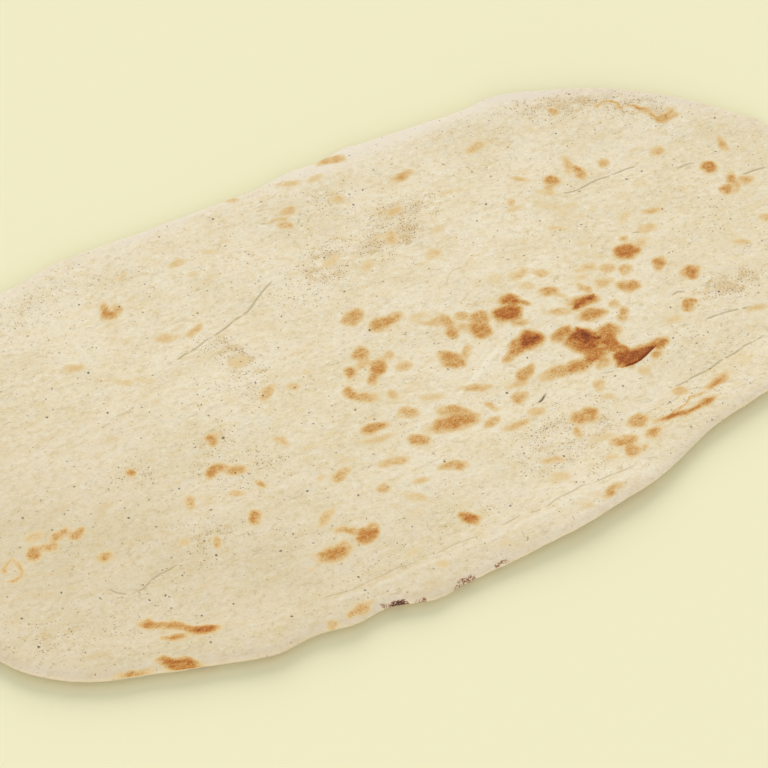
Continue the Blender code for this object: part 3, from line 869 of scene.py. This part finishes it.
def baked_white_dough():
    material = bpy.data.materials.new("baked_white_dough")
    material.use_nodes = True
    tree = material.node_tree
    shader = tree.nodes["Principled BSDF"]
    shader.inputs["Roughness"].default_value = 0.8
    shader.inputs["IOR"].default_value = 1.45
    shader.inputs["Specular IOR Level"].default_value = 0.25
    source = add_sources(tree)

    jitter = {"Vector": source["mm"], "Scale": JITTER_SCALE, "Detail": 1}
    source["jitter"] = add_node(tree, "ShaderNodeTexNoise", jitter, "Color")
    line = add_node(tree, MATH, {0: source["vein"], 1: 0.5}, operation="SUBTRACT")
    line = add_node(tree, MATH, {0: line}, operation="ABSOLUTE")
    line = {"Value": line, "From Min": VEIN_LINE[0], "From Max": VEIN_LINE[1]}
    line = add_node(tree, RANGE, line)
    here = {"Value": source["cluster"], "From Min": VEINS_GATHER[0], "From Max": VEINS_GATHER[1]}
    here = add_node(tree, RANGE, here)
    source["veined"] = add_node(tree, MATH, {0: line, 1: here}, operation="MULTIPLY")

    gathered = {0: source["cluster"], 1: PEPPER_GATHERS[0], 2: PEPPER_GATHERS[1]}
    gathered = add_node(tree, MATH, gathered, operation="MULTIPLY_ADD", use_clamp=True)
    gathered = add_node(tree, MATH, {0: gathered, 1: source["pepper"]}, operation="MULTIPLY")
    source["tinged"] = add_node(tree, MATH, {0: gathered, 1: source["tint"]}, operation="MULTIPLY")

    # Each crease is painted dark along its line, as painted shade, broken into dashes.
    line = add_node(tree, MATH, {0: source["crease_offset"]}, operation="ABSOLUTE")
    line = {"Value": line, "From Min": CREASE_LINE[0], "From Max": CREASE_LINE[1]}
    line = add_node(tree, RANGE, line, interpolation_type="SMOOTHSTEP")
    line = add_node(tree, MATH, {0: line, 1: source["crease_depth"]}, operation="MULTIPLY")
    broken = {"Value": source["dashes"], "From Min": CREASE_DASHES[0], "From Max": CREASE_DASHES[1]}
    broken = add_node(tree, RANGE, broken, interpolation_type="SMOOTHSTEP")
    source["crease"] = add_node(tree, MATH, {0: line, 1: broken}, operation="MULTIPLY")

    everywhere = add_node(tree, MATH, {0: gathered, 1: SPECKLE_CHANCE}, operation="ADD")
    source["peppered"] = add_dots(tree, source, everywhere, PEPPER_CELL, PEPPER_RADIUS)
    source["speckled"] = add_dots(tree, source, SPECK_CHANCE, SPECK_CELL, SPECK_RADIUS)

    outer = {"Value": source["from_rim"], "From Min": OUTER_RIM[0], "From Max": OUTER_RIM[1]}
    source["outer"] = add_node(tree, RANGE, outer, interpolation_type="SMOOTHSTEP")
    skin = lay_over(tree, linear(CREAM), SKIN_LAYERS, source)
    skin = lay_scorch(tree, skin, add_browning(tree, source))

    uneven = {0: source["crumb"], 1: NICK_UNEVEN[0], 2: NICK_UNEVEN[1]}
    uneven = add_node(tree, MATH, uneven, operation="MULTIPLY_ADD")
    source["nicked"] = add_node(tree, MATH, {0: source["char"], 1: uneven}, operation="MULTIPLY")
    skin = lay_over(tree, skin, BURNT_LAYERS, source)
    tree.links.new(skin, shader.inputs["Base Color"])

    height = {0: source["grain"], 1: GRAIN_BUMP, 2: source["curd"]}
    height = add_node(tree, MATH, height, operation="MULTIPLY_ADD")
    bump = {"Height": height, "Strength": BUMP_STRENGTH, "Distance": BUMP_DEPTH * MM}
    tree.links.new(add_node(tree, "ShaderNodeBump", bump), shader.inputs["Normal"])
    return material


dough = baked_white_dough()
bread.data.materials.append(dough)
print("Dough material:", len(dough.node_tree.nodes), "nodes")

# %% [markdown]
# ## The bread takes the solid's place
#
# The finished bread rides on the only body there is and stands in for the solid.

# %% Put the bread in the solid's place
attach(bread, "root")
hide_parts("lavash")
print("Piece:", bread.name, "with", triangles(bread), "triangles")

# %% [markdown]
# ## A pale table and soft light
#
# The table is one wide flat square of board, painted a pale, matt cream yellow that shows no
# reflection. Much of the light comes evenly from all round, as in a white studio. One large soft
# lamp far behind the bread gives the wide, soft shadow along its near side, and a weaker, softer
# one in front of it keeps the near rim from going dark.

# %% Table and lights
TABLE_COLOUR = "#EBE5BF"
TABLE_SIZE = 8.0
ROOM_LIGHT = 0.585
ROOM_COLOUR = "#F5FAFF"      # a little cool
LAMP_COLOUR = "#FFFBF2"      # and the lamp behind a little warm, so that the shadow is not brown
BACK_LAMP = {"strength": 1.92, "height": 32, "towards": 67, "softness": 44}
FRONT_LAMP = {"strength": 1.55, "height": 24, "towards": 247, "softness": 60}


def plain_table():
    bpy.ops.mesh.primitive_plane_add(size=TABLE_SIZE, location=(0, 0, 0))
    table = bpy.context.object
    table.name = "table"
    material = bpy.data.materials.new("painted_board_matt")
    material.use_nodes = True
    shader = material.node_tree.nodes["Principled BSDF"]
    shader.inputs["Base Color"].default_value = linear(TABLE_COLOUR)
    shader.inputs["Roughness"].default_value = 1.0
    shader.inputs["Specular IOR Level"].default_value = 0.0
    table.data.materials.append(material)
    return table


def soft_lamp(name, strength, height, towards, softness):
    """A far lamp at this height in degrees over the table, in this direction from the bread."""
    light = bpy.data.lights.new(name, "SUN")
    light.energy = strength
    light.angle = math.radians(softness)
    lamp = bpy.data.objects.new(name, light)
    bpy.context.scene.collection.objects.link(lamp)
    up, around = math.radians(height), math.radians(towards)
    level = math.cos(up)
    to_lamp = Vector((level * math.cos(around), level * math.sin(around), math.sin(up)))
    lamp.rotation_euler = to_lamp.to_track_quat("Z", "Y").to_euler()
    return light


def even_room(strength):
    world = bpy.data.worlds.new("white_studio")
    world.use_nodes = True
    background = world.node_tree.nodes["Background"]
    background.inputs["Color"].default_value = linear(ROOM_COLOUR)
    background.inputs["Strength"].default_value = strength
    bpy.context.scene.world = world


deselect_all()
plain_table()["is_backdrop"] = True
even_room(ROOM_LIGHT)
soft_lamp("back_lamp", **BACK_LAMP).color = linear(LAMP_COLOUR)[:3]
soft_lamp("front_lamp", **FRONT_LAMP)

# %% [markdown]
# ## The camera
#
# The bread is seen from its near left, from 50 degrees above the table, through a long lens that
# hardly narrows the far side. Both ends of the bread reach past the edges of the picture.

# %% Camera
CAMERA_HEIGHT = 50
CAMERA_TURN = -23
CAMERA_AWAY = 1.10
LENS = 120
LOOKS_AT = Vector((-0.0105, -0.012, 0))


def aim_camera():
    height, turn = math.radians(CAMERA_HEIGHT), math.radians(CAMERA_TURN)
    level = math.cos(height)
    back = Vector((level * math.sin(turn), -level * math.cos(turn), math.sin(height)))
    camera = bpy.data.objects.new("camera", bpy.data.cameras.new("camera"))
    bpy.context.scene.collection.objects.link(camera)
    camera.location = LOOKS_AT + back * CAMERA_AWAY
    camera.rotation_euler = (-back).to_track_quat("-Z", "Y").to_euler()
    camera.data.lens = LENS
    bpy.context.scene.camera = camera
    bpy.context.scene.view_settings.view_transform = "Standard"
    return camera


print("Camera at", [round(c, 3) for c in aim_camera().location])

# %% [markdown]
# ## Measure and finish
#
# The relief must not change the bread's real size, so its box is measured once more and set
# beside the solid's.

# %% Measure the bread and finish
visual_box = [list(corner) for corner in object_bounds()]
grown = [(b - a) / MM - s for a, b, s in zip(*visual_box, cad_size)]
print("Against the solid, the bread is longer, wider and higher by", [round(g, 2) for g in grown], "mm")
